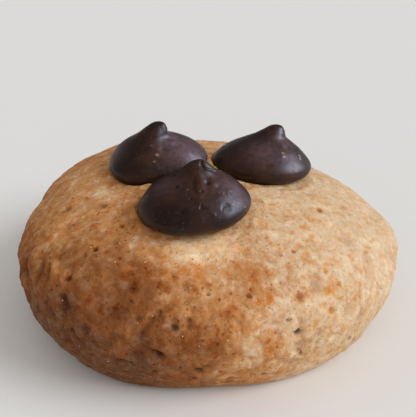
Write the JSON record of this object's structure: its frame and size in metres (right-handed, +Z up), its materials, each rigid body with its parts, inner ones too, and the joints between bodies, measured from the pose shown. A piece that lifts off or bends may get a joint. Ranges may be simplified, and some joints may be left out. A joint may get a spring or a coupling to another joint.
{
  "type": "chocolate chip cookie",
  "caption": "Thick domed golden cookie with pointed dark chocolate chips pressed into its top.",
  "frame": {"origin": "middle of the flat underside, which the cookie rests on", "axes": "+Z up out of the top with the chips; -Y is the front, which the picture looks at; +X to its right"},
  "size_m": [0.0448, 0.0437, 0.0231],
  "materials": {
    "dough": "baked cookie dough: cream to golden tan with a fine open crumb and brown specks",
    "chocolate": "dark chocolate with a soft satin shine"
  },
  "bodies": {
    "root": {"cookie": "dough", "chip_front": "chocolate", "chip_left": "chocolate", "chip_right": "chocolate"}
  },
  "joints": []
}
